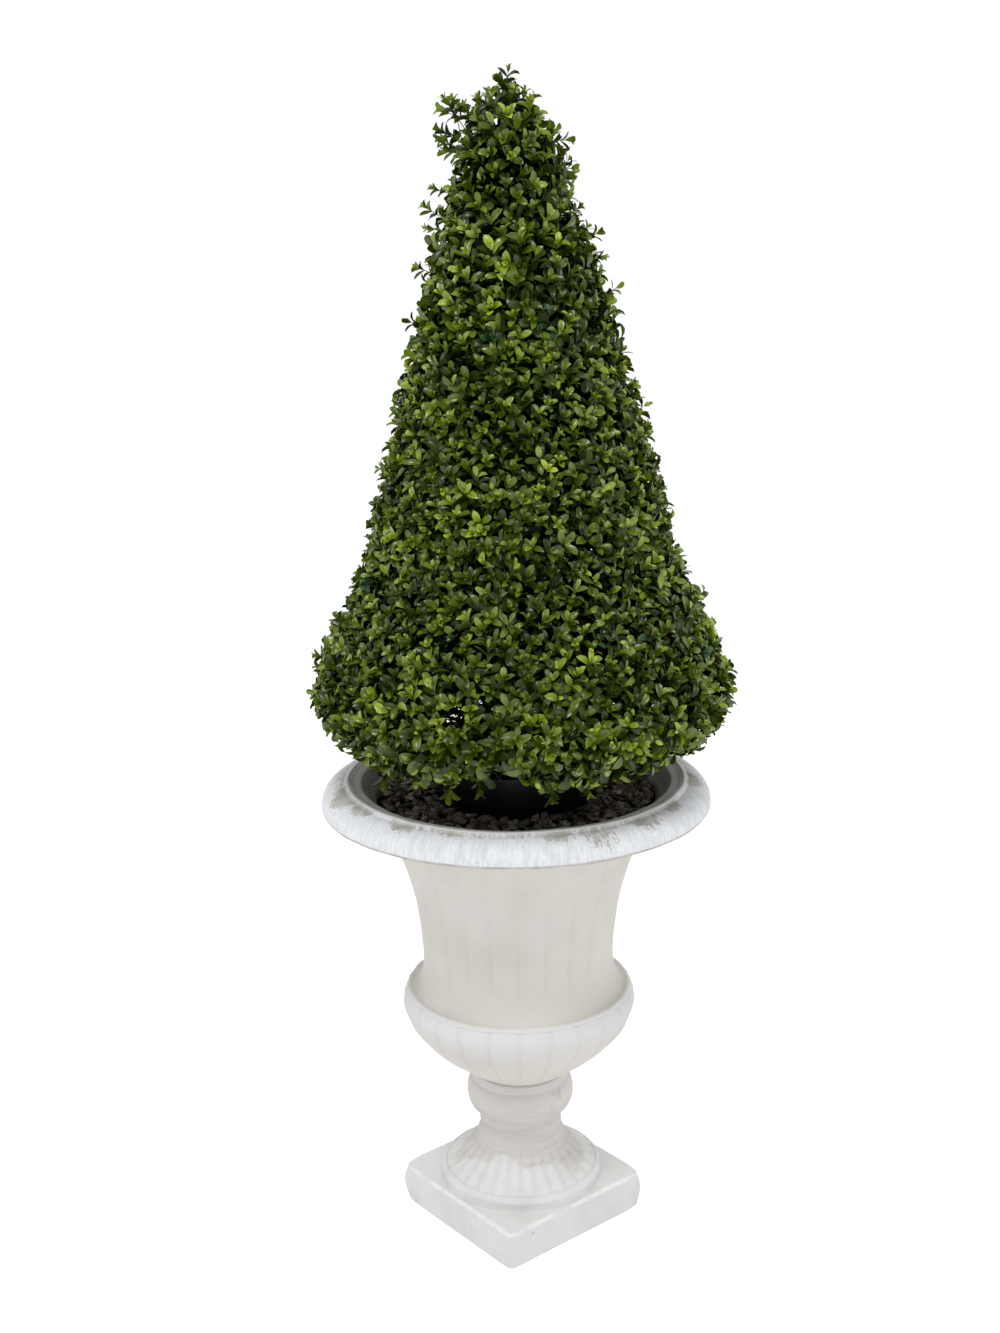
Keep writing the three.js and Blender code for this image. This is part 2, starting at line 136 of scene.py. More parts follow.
def value_noise(points, scale, seed):
    """Smooth noise from -1 to 1 at points in millimetres, with features about scale across."""
    p = np.asarray(points) / scale
    cell = np.floor(p).astype(np.int64)
    w = smoothstep(0, 1, p - cell)
    total = np.zeros(len(p))
    for step in itertools.product((0, 1), repeat=3):
        x, y, z = (cell + step).T
        h = (x * 374761393 + y * 668265263 + z * 2147483647 + seed * 974634777) & 0xFFFFFFFF
        h = ((h ^ (h >> 13)) * 1274126177) & 0xFFFFFFFF
        value = ((h ^ (h >> 16)) & 0xFFFF) / 32767.5 - 1
        total += np.where(step, w, 1 - w).prod(1) * value
    return total


def mesh_object(name, points, faces, material, smooth=True):
    """One mesh from points in millimetres and a list of face arrays, each with its own corner count."""
    faces = [np.asarray(f) for f in faces if len(f)]
    corners = np.concatenate([f.ravel() for f in faces]).astype(np.int32)
    counts = np.concatenate([np.full(len(f), f.shape[1]) for f in faces])
    mesh = bpy.data.meshes.new(name)
    mesh.vertices.add(len(points))
    mesh.vertices.foreach_set("co", (np.asarray(points, float) * MM).ravel())
    mesh.loops.add(len(corners))
    mesh.loops.foreach_set("vertex_index", corners)
    mesh.polygons.add(len(counts))
    mesh.polygons.foreach_set("loop_start", (np.cumsum(counts) - counts).astype(np.int32))
    mesh.polygons.foreach_set("use_smooth", np.full(len(counts), smooth))
    mesh.update(calc_edges=True)
    mesh.materials.append(material)
    piece = bpy.data.objects.new(name, mesh)
    bpy.context.scene.collection.objects.link(piece)
    return piece


def add_piece(name, shape, look, node, smooth=True):
    """A mesh from (points, faces) on the one body, with its finish, in place of a CAD node."""
    piece = mesh_object(name, *shape, look, smooth)
    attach(piece, "root")
    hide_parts(node)


def on_lathe(angle, r, z):
    return np.stack([r * np.cos(angle), r * np.sin(angle), z], 1)


def bands(index):
    """Quads from each row of a grid of points to the next. The last column joins the first."""
    low, high = index[:-1], index[1:]
    return np.stack([low, np.roll(low, -1, 1), np.roll(high, -1, 1), high], -1).reshape(-1, 4)


def lathe(outline, segments, relief=None):
    """Points and faces of a turned surface. relief(angle, radius, height, along) is the inward cut."""
    p = np.array(outline, float)
    rows = len(p)
    angle = np.tile(np.arange(segments) * 2 * math.pi / segments, rows)
    r, z = np.repeat(p, segments, axis=0).T
    if relief is not None:
        length = run_length(p)
        tangent = np.gradient(p, np.maximum(length, 1e-9) + np.arange(rows) * 1e-9, axis=0)
        tangent /= np.maximum(np.hypot(*tangent.T), 1e-9)[:, None]
        cut = relief(angle, r, z, np.repeat(length, segments))
        r = r - cut * np.repeat(tangent[:, 1], segments)
        z = z + cut * np.repeat(tangent[:, 0], segments)
    return on_lathe(angle, r, z), [bands(np.arange(rows * segments).reshape(rows, segments))]


# ---- Materials ----


def linear(red, green, blue):
    """An sRGB colour, 0 to 255, as the linear colour that a shader takes."""
    values = []
    for v in (red, green, blue):
        v /= 255
        values.append(v / 12.92 if v <= 0.04045 else ((v + 0.055) / 1.055) ** 2.4)
    return (*values, 1.0)


class Tree:
    """A node tree with short calls for making and feeding nodes."""

    def __init__(self, tree):
        self.tree = tree

    def feed(self, socket, value):
        if isinstance(value, bpy.types.NodeSocket):
            self.tree.links.new(value, socket)
        else:
            socket.default_value = value

    def node(self, kind, inputs, **settings):
        """A new node's outputs. Its inputs are given by name or number."""
        made = self.tree.nodes.new(kind)
        for key, value in settings.items():
            setattr(made, key, value)
        for key, value in inputs.items():
            self.feed(made.inputs[key], value)
        return made.outputs


class Shader(Tree):
    """A new material."""

    def __init__(self, name, roughness, specular):
        self.material = bpy.data.materials.new(name)
        self.material.use_nodes = True
        super().__init__(self.material.node_tree)
        self.surface = self.tree.nodes["Principled BSDF"].inputs
        self.surface["Roughness"].default_value = roughness
        self.surface["Specular IOR Level"].default_value = specular
        self.position = self.node("ShaderNodeTexCoord", {})["Object"]

    def noise(self, scale, detail=3.0, roughness=0.5, source=None):
        """Noise value from 0 to 1; scale is in features to the metre."""
        source = source or self.position
        inputs = {"Vector": source, "Scale": scale, "Detail": detail, "Roughness": roughness}
        return self.node("ShaderNodeTexNoise", inputs)["Fac"]

    def math(self, operation, a, b=0.0):
        return self.node("ShaderNodeMath", {0: a, 1: b}, operation=operation)[0]

    def plus(self, a, b):
        return self.math("ADD", a, b)

    def times(self, a, b):
        return self.math("MULTIPLY", a, b)

    def vector(self, operation, a, b=(0, 0, 0)):
        made = self.node("ShaderNodeVectorMath", {0: a, 1: b}, operation=operation)
        return made["Value" if operation in ("LENGTH", "DISTANCE") else "Vector"]

    def sway(self, noise, amount):
        """A noise value as a shift of up to half the amount either way."""
        return self.times(self.math("SUBTRACT", noise, 0.5), amount)

    def ramp(self, value, low, high, to_low=0.0, to_high=1.0):
        """Smooth step of a value between two limits."""
        inputs = {"Value": value, "From Min": low, "From Max": high, "To Min": to_low, "To Max": to_high}
        return self.node("ShaderNodeMapRange", inputs, interpolation_type="SMOOTHSTEP")["Result"]

    def mix(self, share, a, b):
        """From a to b, each a socket or a plain sRGB colour."""
        a, b = (linear(*value) if isinstance(value, tuple) else value for value in (a, b))
        return self.node("ShaderNodeMix", {"Factor": share, 6: a, 7: b}, data_type="RGBA")[2]

    def patches(self, noise, low, high, a, b):
        """Two colours in soft patches: a where the noise is below low, b where it is above high."""
        return self.mix(self.ramp(noise, low, high), a, b)

    def along(self, axis):
        return self.node("ShaderNodeSeparateXYZ", {0: self.position})[axis]

    def height(self):
        return self.along("Z")

    def beside(self):
        """Distance from the axis along X or Y, whichever is larger."""
        x, y = (self.math("ABSOLUTE", self.along(axis)) for axis in "XY")
        return self.math("MAXIMUM", x, y)

    def flat(self):
        """The place without its height."""
        return self.vector("MULTIPLY", self.position, (1, 1, 0))

    def axial(self):
        """Distance from the Z axis."""
        return self.vector("LENGTH", self.flat())

    def strokes(self, scale, detail):
        """Noise drawn out along the way away from the axis, as a brush leaves it."""
        around = self.vector("NORMALIZE", self.flat())
        return self.noise(scale, detail, 0.6, self.vector("ADD", around, self.position))

    def near(self, point, radius):
        """1 at a point in millimetres, falling to 0 at a radius from it."""
        away = self.vector("DISTANCE", self.position, [v * MM for v in point])
        return self.ramp(away, 0, radius * MM, 1.0, 0.0)

    def colour(self, value):
        self.feed(self.surface["Base Color"], value)

    def bump(self, height, strength, distance):
        inputs = {"Height": height, "Strength": strength, "Distance": distance}
        self.feed(self.surface["Normal"], self.node("ShaderNodeBump", inputs)["Normal"])


# Worn places on the rim: across and down in the photograph, and radius in millimetres.
WORN_PATCHES = [
    (345, 798, 42), (364, 811, 30), (400, 827, 30), (455, 833, 22), (494, 829, 18),
    (555, 836, 28), (614, 838, 58), (648, 822, 52), (668, 806, 40), (690, 780, 44),
]
# Soft edges between the stone's colours, each from and to so many metres. First how far from the axis:
PLINTH_SIDE_EDGE, SLOPE_EDGE, PAINT_EDGE = (0.1245, 0.1275), (0.228, 0.2345), (0.2345, 0.2435)
BEAD_IN, BEAD_OUT = (0.2345, 0.2370), (0.2415, 0.2440)
# and then how high:
PLINTH_TOP_EDGE, FOOT_EDGE, KNOP_LIGHT_EDGE = (0.0480, 0.0510), (0.097, 0.100), (0.170, 0.205)
SEAM_SHADE_EDGE, LIT_LOBES_EDGE, SHOULDER_EDGE = (0.2225, 0.2250), (0.300, 0.345), (0.3610, 0.3635)
RIM_EDGE, WALL_EDGE = (0.6468, 0.6496), (0.655, 0.676)

# Where the darker neck colour reaches further down the foot, or less far (drop below 0): place, radius
# and drop.
NECK_EDGE = [
    ((-98, 52, 82), 62, 0.024),
    ((-62, -34, 108), 36, -0.014),
    ((30, -93, 82), 44, 0.018),
    ((70, -72, 82), 44, 0.018),
    ((96, -36, 82), 44, 0.018),
]
# Painted shade on one side of the knop, under the bowl: its middle in millimetres, and radius.
KNOP_SHADE_SPOT, KNOP_SHADE_RADIUS = (4, -76, 200), 40


def cast_stone(name):
    """Cast stone with a fine grain. Its colour is set by the caller."""
    s = Shader(name, roughness=0.82, specular=0.25)
    grain = s.times(s.noise(420, 4, 0.6), 0.7)
    s.bump(s.plus(grain, s.times(s.noise(70, 3), 0.9)), 0.3, 0.001)
    return s


def bowl_material():
    """The bowl: warm bare stone, with painted light from above: a paler, cooler tone over the upper half
    of the lobes and the lip.
    """
    s = cast_stone("urn_bowl_stone")
    bare = s.patches(s.noise(9, 3), 0.35, 0.68, (206, 203, 198), (199, 196, 190))
    level = s.plus(s.height(), s.sway(s.noise(22, 3), 0.03))
    below_shoulder = s.ramp(s.height(), *SHOULDER_EDGE, 1.0, 0.0)
    # Painted light: the upper half of the lobes and the lip, which face the light from above, get a
    # paler, cooler tone.
    brush_marks_and_light = s.times(s.ramp(level, *LIT_LOBES_EDGE), below_shoulder)
    s.colour(s.mix(brush_marks_and_light, bare, (204, 204, 204)))
    return s.material


def rim_material():
    """The rim: cool white laid on with a brush over its moulding, worn in feathered patches near the
    bead.
    """
    s = cast_stone("urn_rim_stone")
    r = s.axial()
    drawn = s.strokes(46, 5)
    worn = 0.0
    for across, down, radius in WORN_PATCHES:
        worn = s.math("MAXIMUM", worn, s.near(on_level(across, down, RIM_HEIGHT - 6), radius))
    clouds = s.sway(s.noise(7, 2), 0.060)
    specks = s.sway(s.noise(190, 5, 0.7), 0.050)
    edge = s.plus(s.plus(r, clouds), s.plus(s.sway(drawn, 0.075), specks))
    edge = s.math("SUBTRACT", edge, s.times(worn, 0.031))
    painted = s.ramp(edge, *PAINT_EDGE)
    bead = s.times(s.ramp(r, *BEAD_IN), s.ramp(r, *BEAD_OUT, 1.0, 0.0))
    grey = s.patches(s.noise(60, 3), 0.35, 0.65, (160, 158, 153), (184, 182, 178))
    slope = s.mix(s.ramp(r, *SLOPE_EDGE, 1.0, 0.0), grey, (186, 184, 181))
    inner = s.mix(s.times(bead, 0.75), slope, (208, 207, 205))
    white = s.patches(drawn, 0.38, 0.62, (216, 218, 221), (203, 205, 208))
    outer = s.mix(painted, inner, white)
    s.colour(s.mix(s.ramp(s.height(), *RIM_EDGE), grey, outer))
    return s.material


def pedestal_material():
    """The pedestal: pale below a ragged edge round the foot and darker above it; worn plinth edges with a
    painted highlight; painted light and shade on the knop.
    """
    s = cast_stone("urn_pedestal_stone")
    clouds = s.sway(s.noise(14, 2), 0.014)
    ragged = s.sway(s.noise(120, 4, 0.6), 0.018)
    level = s.plus(s.plus(s.height(), clouds), ragged)
    for spot, radius, drop in NECK_EDGE:
        level = s.plus(level, s.times(s.near(spot, radius), drop))
    # Pale below a ragged, uneven level round the foot, and the darker neck colour above it.
    painted = s.ramp(level, *FOOT_EDGE, 1.0, 0.0)
    pale = s.patches(s.noise(18, 4, 0.55), 0.4, 0.75, (207, 207, 206), (198, 199, 197))
    # Lighter along the plinth's upper edges: wear, and a painted highlight where the bevel faces the
    # light.
    edge = s.times(s.ramp(s.height(), *PLINTH_TOP_EDGE), s.ramp(s.beside(), *PLINTH_SIDE_EDGE))
    rubbed_and_highlit = s.times(edge, s.ramp(s.noise(45, 3), 0.3, 0.55))
    drawn = s.noise(10, 3, 0.55, s.vector("MULTIPLY", s.position, (1, 1, 16)))
    neck = s.patches(drawn, 0.4, 0.7, (200, 197, 193), (189, 186, 181))
    # Painted light: the knop, in the shade under the bowl, gets a lighter colour.
    neck = s.mix(s.ramp(s.height(), *KNOP_LIGHT_EDGE), neck, (204, 201, 197))
    # Painted shade: a darker band at the top of the knop, along the seam under the bowl.
    neck = s.mix(s.ramp(s.height(), *SEAM_SHADE_EDGE), neck, (188, 185, 180))
    broken = s.ramp(s.noise(50, 4, 0.6), 0.45, 0.62)
    # Painted shade: a darker, broken patch on one side of the knop, where the bowl's shade falls.
    knop_shade = s.times(s.near(KNOP_SHADE_SPOT, KNOP_SHADE_RADIUS), broken)
    neck = s.mix(knop_shade, neck, (182, 179, 174))
    s.colour(s.mix(painted, neck, s.mix(rubbed_and_highlit, pale, (217, 217, 216))))
    return s.material


def stone_inside_material():
    s = Shader("urn_inside_stone", roughness=0.9, specular=0.2)
    shade = s.patches(s.noise(40, 4), 0.35, 0.7, (226, 223, 220), (206, 203, 200))
    s.colour(s.mix(s.ramp(s.height(), *WALL_EDGE), shade, (160, 156, 152)))
    s.bump(s.noise(300, 3), 0.3, 0.001)
    return s.material


def pebble_material(name, light, dark):
    s = Shader(name, roughness=0.88, specular=0.25)
    s.colour(s.patches(s.noise(260, 3), 0.3, 0.7, light, dark))
    s.bump(s.noise(900, 3), 0.4, 0.0006)
    return s.material


def pot_material():
    s = Shader("pot_black_plastic", roughness=0.38, specular=0.3)
    s.colour(s.patches(s.noise(30, 3), 0.4, 0.7, (7, 7, 8), (13, 12, 12)))
    s.bump(s.noise(500, 2), 0.06, 0.0005)
    return s.material


def leaf_material(name, light, dark, roughness, specular=0.65):
    """Plastic leaf: two close greens in soft patches, with a satin face."""
    s = Shader(name, roughness, specular)
    s.colour(s.patches(s.noise(38, 2), 0.32, 0.68, light, dark))
    s.bump(s.noise(700, 2), 0.12, 0.0004)
    return s.material


def twig_material():
    s = Shader("twig_plastic", roughness=0.6, specular=0.3)
    s.colour(s.patches(s.noise(90, 2), 0.35, 0.7, (52, 48, 22), (34, 42, 16)))
    return s.material


# ---- Urn ----


LOBE_STEPS, TONGUE_STEPS, FLUTE_STEPS = 30, 22, 22  # points across one of each
LOBE_END, FLUTE_END = 13, 14  # how long the rounded ends of lobes and flutes are
BOWL_SEED, RIM_SEED, WALL_SEED, FOOT_SEED, PLINTH_SEED = 3, 8, 12, 21, 31  # of the casting's unevenness


def crease(angle, count, turn):
    """Place across a repeated unit: 0 in its middle, 1 at the crease on either side."""
    share = (angle - turn) * count / (2 * math.pi)
    return np.abs(share - np.floor(share) - 0.5) * 2


def hand_cast(points, seed, amount=0.45):
    """Small unevenness of a hand-finished casting, in millimetres."""
    return amount * (value_noise(points, 34, seed) + 0.5 * value_noise(points, 11, seed + 1))


def uneven(seed, amount):
    """Relief for a plain turned surface."""
    return lambda angle, r, z, along: hand_cast(on_lathe(angle, r, z), seed, amount)


def rounded_end(distance, radius):
    """Share of a lobe's width at a distance from its rounded end."""
    return np.sqrt(np.clip(1 - np.clip(1 - distance / radius, 0, 1) ** 2, 0, 1))


def belly(look):
    """The lower bowl with its lobes, each rounded where it ends under the lip."""
    curve = [(KNOP_SEAT, KNOP_TOP + 0.4), (88.4, 240), (128.6, 272), (157, 304), (170, 336), (167.2, 353)]
    under_lip = [(165.8, 355.8), (164.0, 358.2), (159.5, 359.5)]
    outline = evenly(spline(curve, 100), under_lip)
    length = np.hypot(*np.diff(outline, axis=0).T).sum()

    def relief(angle, r, z, along):
        u = crease(angle, LOBES, LOBE_TURN)
        end = rounded_end(length - along, LOBE_END)
        groove = np.exp(-(((1 - u) / 0.16) ** 2))
        rounding = np.clip(u / np.maximum(0.97 * end, 0.04), 0, 1) ** 8
        shape = 1.2 * u**2 + 0.9 * groove + 1.1 * rounding
        return shape * smoothstep(10, 130, along) * end + hand_cast(on_lathe(angle, r, z), BOWL_SEED)

    add_piece("urn_lobes", lathe(outline, LOBES * LOBE_STEPS, relief), look, "urn_bowl")


def bowl_body(look):
    """The lip, the shoulder behind it and the fluted body."""
    start = (BODY_RADIUS, BODY_BOTTOM)
    shoulder = [(156, 362.9), (151, 363.6), (146.5, 369), (143, 378), (140.5, 388), start]
    body = [start, (139.4, 430), (146, 490), (161.4, 550), (179, 592), (BODY_FLARE, BODY_TOP - 4)]
    lip = arc(16, LIP_RADIUS - LIP_HALF, LIP_MIDDLE, LIP_HALF + 0.6, LIP_HALF, -70, 110)
    outline = evenly(lip, spline(shoulder, 30)[:-1], spline(body, 90))

    def relief(angle, r, z, along):
        u = crease(angle, LOBES, LOBE_TURN)
        fluted = smoothstep(BODY_BOTTOM - 20, 430, z) * (1 - smoothstep(618, BODY_TOP, z))
        scalloped = 1.3 * (1 - smoothstep(361, 364, z)) * u**2
        return 2.6 * fluted * u**3 + scalloped + hand_cast(on_lathe(angle, r, z), BOWL_SEED)

    add_piece("urn_body", lathe(outline, LOBES * LOBE_STEPS, relief), look, "urn_bowl")


def rim_relief(angle, r, z, along):
    """Tongues with rounded ends side by side along the rim's moulding, with a dart between two."""
    u = crease(angle, TONGUES, LOBE_TURN) / 2
    rise = np.degrees(np.arctan2((z - RIM_BOTTOM - 1) / 30, (r - RIM_MOULDING) / 35.7))
    v = np.clip(rise / 84, 0, 1)
    moulded = smoothstep(0.03, 0.10, v) * (1 - smoothstep(0.84, 0.96, v))
    moulded *= (z > RIM_BOTTOM + 1) * (r > RIM_MOULDING + 1)
    half = 0.37 * rounded_end(v - 0.05, 0.30)
    inside = np.clip(1 - u / np.maximum(half, 0.02), 0, 1)
    tongue = np.sqrt(np.clip(1 - (1 - inside) ** 2, 0, 1))
    groove = np.exp(-(((u - half - 0.05) / 0.05) ** 2))
    cut = moulded * (1.5 * groove - 0.8 * tongue + 0.2)
    points = on_lathe(angle, r, z)
    worn = 0.62 + 0.38 * value_noise(points, 90, 17)
    return cut * worn + hand_cast(points, RIM_SEED, 0.5)


def rim():
    """From the body's flare over the moulding and the bead down to the mouth."""
    edge = RIM_RADIUS - 4
    low, wide, high = RIM_BOTTOM + 1, RIM_RADIUS - RIM_MOULDING - 0.6, RIM_HEIGHT - RIM_BOTTOM - 5.5
    outline = evenly(
        [(BODY_FLARE - 1, BODY_TOP - 6), (BODY_FLARE + 4, BODY_TOP - 3)],
        spline([(BODY_FLARE + 10, BODY_TOP - 3.5), (250, 648), (edge, RIM_BOTTOM - 3)], 20),
        arc(8, edge, low, 3.4, 4, -90, 0),
        arc(40, RIM_MOULDING, low, wide, high, 3, 84),
        arc(10, RIM_BEAD + 1, RIM_HEIGHT - 3.4, 4.0, 3.3, 30, 150),
        spline([(234.8, 680.6), (230, 679.0), (MOUTH_RADIUS + 3, 677.3), (MOUTH_RADIUS, 675.5)], 12),
        spacing=1.3,
    )
    shape = lathe(outline, TONGUES * TONGUE_STEPS, rim_relief)
    add_piece("urn_rim", shape, rim_material(), "urn_bowl")


def inner_wall():
    line = [(MOUTH_RADIUS + 0.4, MOUTH_HEIGHT - 1), (210, 668), (200, 650), (186, 625), (176, 606)]
    shape = lathe(evenly(spline(line, 20), spacing=3), 240, uneven(WALL_SEED, -0.4))
    add_piece("urn_inner_wall", shape, stone_inside_material(), "urn_bowl")


def pedestal_shaft(look):
    """A ring on the plinth, the foot with its tongues, the neck and the knop."""
    ring_top = PLINTH_HEIGHT + RING_HEIGHT
    ring = [
        (RING_RADIUS + 1, PLINTH_HEIGHT - 1),
        (RING_RADIUS - 0.5, PLINTH_HEIGHT + 4),
        (RING_RADIUS - 1.5, PLINTH_HEIGHT + 11),
        (RING_RADIUS - 7, ring_top - 0.8),
        (FOOT_RADIUS - 1, ring_top - 1.5),
        (FOOT_RADIUS - 6, ring_top - 3),
    ]
    shape = lathe(evenly(spline(ring, 40)), 480, uneven(FOOT_SEED, 0.5))
    add_piece("urn_ring", shape, look, "urn_pedestal")

    foot = [(FOOT_RADIUS + 0.5, ring_top - 1), (96, 84), (71.5, 108), (NECK_RADIUS + 0.4, 128)]
    outline = evenly(
        spline(foot, 60),
        [(NECK_RADIUS - 0.6, 129.5), (NECK_RADIUS - 0.4, 149), (64, 157), (65.6, 160), (65.9, 163)],
        arc(40, 65.5, KNOP_MIDDLE, KNOP_RADIUS - 65.5, KNOP_MIDDLE - 163, -78, 62),
        [(71, 217), (69.5, 223), (66, 227.5)],
        spacing=1.6,
    )

    def relief(angle, r, z, along):
        u = crease(angle, FOOT_FLUTES, FOOT_TURN)
        fade = 1 - smoothstep(92, 128, z)
        across = np.clip(u / np.maximum(0.97 * rounded_end(along, FLUTE_END), 0.04), 0, 1)
        fluted = 3.8 * fade * across**2.2 * (0.3 + 0.7 * smoothstep(0, FLUTE_END, along))
        brush_marks_and_light = value_noise(np.stack([r * np.cos(angle) / 4, r * np.sin(angle) / 4, z], 1), 9, 25)
        cast = hand_cast(on_lathe(angle, r, z), FOOT_SEED, 0.5)
        return fluted + cast + 0.6 * smoothstep(118, 135, z) * brush_marks_and_light

    shape = lathe(outline, FOOT_FLUTES * FLUTE_STEPS, relief)
    add_piece("urn_pedestal_shaft", shape, look, "urn_pedestal")


# Worn corners and air holes in the casting: where on the plinth, how wide and how deep.
PLINTH_PITS = [
    ((-131, 131, 60), 21, 10.0), ((-131, 131, -4), 20, 8.0),
    ((131, -131, 60), 19, 8.0), ((131, -131, -4), 18, 6.0),
    ((-89, -131, 38.6), 4.2, 5.0), ((-104, -126, 30), 2.0, 1.5),
    ((12, -131, 47), 2.6, 1.5), ((-131, -40, 22), 2.4, 1.5),
    ((131, 30, 30), 3.0, 2.0), ((40, 131, 18), 2.6, 2.0),
]


def plinth_surface(points):
    """Pushes points of a block onto the plinth, with its corners and upper edges rounded."""
    half = PLINTH_SIDE / 2
    flat = half - PLINTH_CORNER
    core = np.clip(points[:, :2], -flat, flat)
    away = points[:, :2] - core
    size = np.maximum(np.hypot(*away.T), 1e-9)
    outward = np.where(size > PLINTH_CORNER, PLINTH_CORNER / size, 1.0)
    points[:, :2] = core + away * outward[:, None]
    edge = np.clip(points[:, 2] - (PLINTH_HEIGHT - PLINTH_BEVEL), 0, PLINTH_BEVEL)
    inset = PLINTH_BEVEL - np.sqrt(np.maximum(PLINTH_BEVEL**2 - edge**2, 0))
    side = np.maximum(np.abs(points[:, :2]).max(1), 1e-9)
    limit = half - inset
    shrink = np.where(side > limit, limit / side, 1.0)
    points[:, :2] *= shrink[:, None]
    return points


def plinth(look):
    """Grids of points over the sides and inwards over the top, rounded, made uneven and pitted."""
    per_side, levels_up, bevel_steps, rings = 170, 34, 7, 36
    half = PLINTH_SIDE / 2
    bevel = np.sin(np.linspace(0, math.pi / 2, bevel_steps + 1))[1:]
    flat = PLINTH_HEIGHT - PLINTH_BEVEL
    levels = np.concatenate([np.linspace(0, flat, levels_up), flat + PLINTH_BEVEL * bevel])
    around = np.linspace(-half, half, per_side, endpoint=False)
    front = np.stack([around, np.full(per_side, -half)], 1)
    right = front[:, ::-1] * (-1, 1)
    loop = np.concatenate([front, right, -front, -right])
    sides = np.concatenate([np.column_stack([loop, np.full(len(loop), z)]) for z in levels])
    points = plinth_surface(sides)
    index = np.arange(len(points)).reshape(len(levels), len(loop))
    top = points[index[-1]]
    shares = 1 - np.arange(1, rings + 1) / rings * 0.62
    inner = [np.column_stack([top[:, :2] * share, top[:, 2]]) for share in shares]
    inner_index = len(points) + np.arange(rings * len(loop)).reshape(rings, len(loop))
    faces = [bands(index), bands(np.concatenate([index[-1:], inner_index])), index[:1, ::-1]]
    points = np.concatenate([points, *inner])

    inward = np.array([0, 0, PLINTH_HEIGHT / 2]) - points
    inward[:, 2] = np.where(points[:, 2] > PLINTH_HEIGHT - 1, -60, 0)
    inward /= np.maximum(np.linalg.norm(inward, axis=1), 1e-9)[:, None]
    cut = np.clip(hand_cast(points, PLINTH_SEED, 0.55) + 0.5, 0, 2) * (points[:, 2] > 0.5)
    for centre, radius, depth in PLINTH_PITS:
        away = np.linalg.norm(points - np.array(centre), axis=1)
        cut += depth * np.exp(-((away / radius) ** 2))
    add_piece("urn_plinth", (points + inward * cut[:, None], faces), look, "urn_pedestal")


# ---- Gravel, pot and stem ----

GRAVEL_TOP, GRAVEL_FLOOR, GRAVEL_RADIUS = 657, 653, 199
STONES = 900
POT_BASE, POT_BASE_RADIUS, POT_TOP, POT_RADIUS, POT_BAND, POT_BAND_HEIGHT = 560, 84, 709, 103, 107.5, 44
FILL_TOP = 690
STEM_RADIUS, STEM_BASE, STEM_TOP, STEM_PITCH = 8, 610, 1560, 6.0


def gravel():
    """A dark bed, and loose angular stones lying over it in two layers."""
    rough = lambda angle, r, z, along: 5 + 2.5 * value_noise(on_lathe(angle, r, z), 9, 41)
    line = evenly([(90, GRAVEL_FLOOR), (GRAVEL_RADIUS, GRAVEL_FLOOR)], spacing=3)[::-1]
    points, faces = lathe(line, 300, rough)
    points[:, 2] = np.minimum(points[:, 2], GRAVEL_FLOOR)
    bed = pebble_material("gravel_bed_dark", (24, 21, 15), (12, 11, 9))
    add_piece("gravel_bed_floor", (points, faces), bed, "gravel_bed", smooth=False)
    looks = [
        pebble_material("stone_brown", (112, 102, 88), (78, 70, 60)),
        pebble_material("stone_dark", (78, 73, 66), (50, 46, 41)),
        pebble_material("stone_grey", (142, 136, 126), (102, 96, 88)),
    ]
    ball, triangles = icosphere(2)
    kinds = rng.choice(len(looks), STONES, p=[0.38, 0.40, 0.22])
    inner, outer = POT_BAND + 1, GRAVEL_RADIUS - 2
    radius = np.sqrt(rng.uniform(inner**2, outer**2, STONES))
    angle = rng.uniform(0, 2 * math.pi, STONES)
    size = rng.uniform(6.0, 12.0, STONES)
    radius = np.clip(radius, inner + size, outer - size)
    lift = np.where(rng.random(STONES) < 0.6, 0.0, 4.0)
    centre = on_lathe(angle, radius, GRAVEL_TOP - 5 + lift)
    for kind, look in enumerate(looks):
        chosen = np.flatnonzero(kinds == kind)
        points = np.concatenate([cut_stone(ball) * size[i] @ lying_turn().T + centre[i] for i in chosen])
        faces = [np.concatenate([triangles + k * len(ball) for k in range(len(chosen))])]
        add_piece(f"gravel_stones_{kind}", (points, faces), look, "gravel_bed", smooth=False)


def cut_stone(ball):
    """A flattened ball with a few flat faces cut off it."""
    stretch = (rng.uniform(0.9, 1.2), rng.uniform(0.6, 0.9), rng.uniform(0.3, 0.52))
    cuts = rng.normal(size=(9, 3))
    cuts /= np.linalg.norm(cuts, axis=1)[:, None]
    stone = ball.copy()
    for cut in cuts:
        over = np.maximum(stone @ cut - rng.uniform(0.45, 0.75), 0)
        stone -= over[:, None] * cut
    return stone * stretch


def lying_turn():
    """A turn of any amount about Z, after a tilt that is mostly under half a right angle."""
    tilt = Matrix.Rotation(rng.normal(0, 0.45), 3, Vector((rng.normal(), rng.normal(), 0)))
    return np.array(Matrix.Rotation(rng.uniform(0, 2 * math.pi), 3, "Z") @ tilt)


def icosphere(subdivisions):
    """Points and triangles of a unit ball."""
    ball = bmesh.new()
    bmesh.ops.create_icosphere(ball, subdivisions=subdivisions, radius=1)
    points = np.array([v.co for v in ball.verts])
    faces = np.array([[v.index for v in f.verts] for f in ball.faces])
    ball.free()
    return points, faces


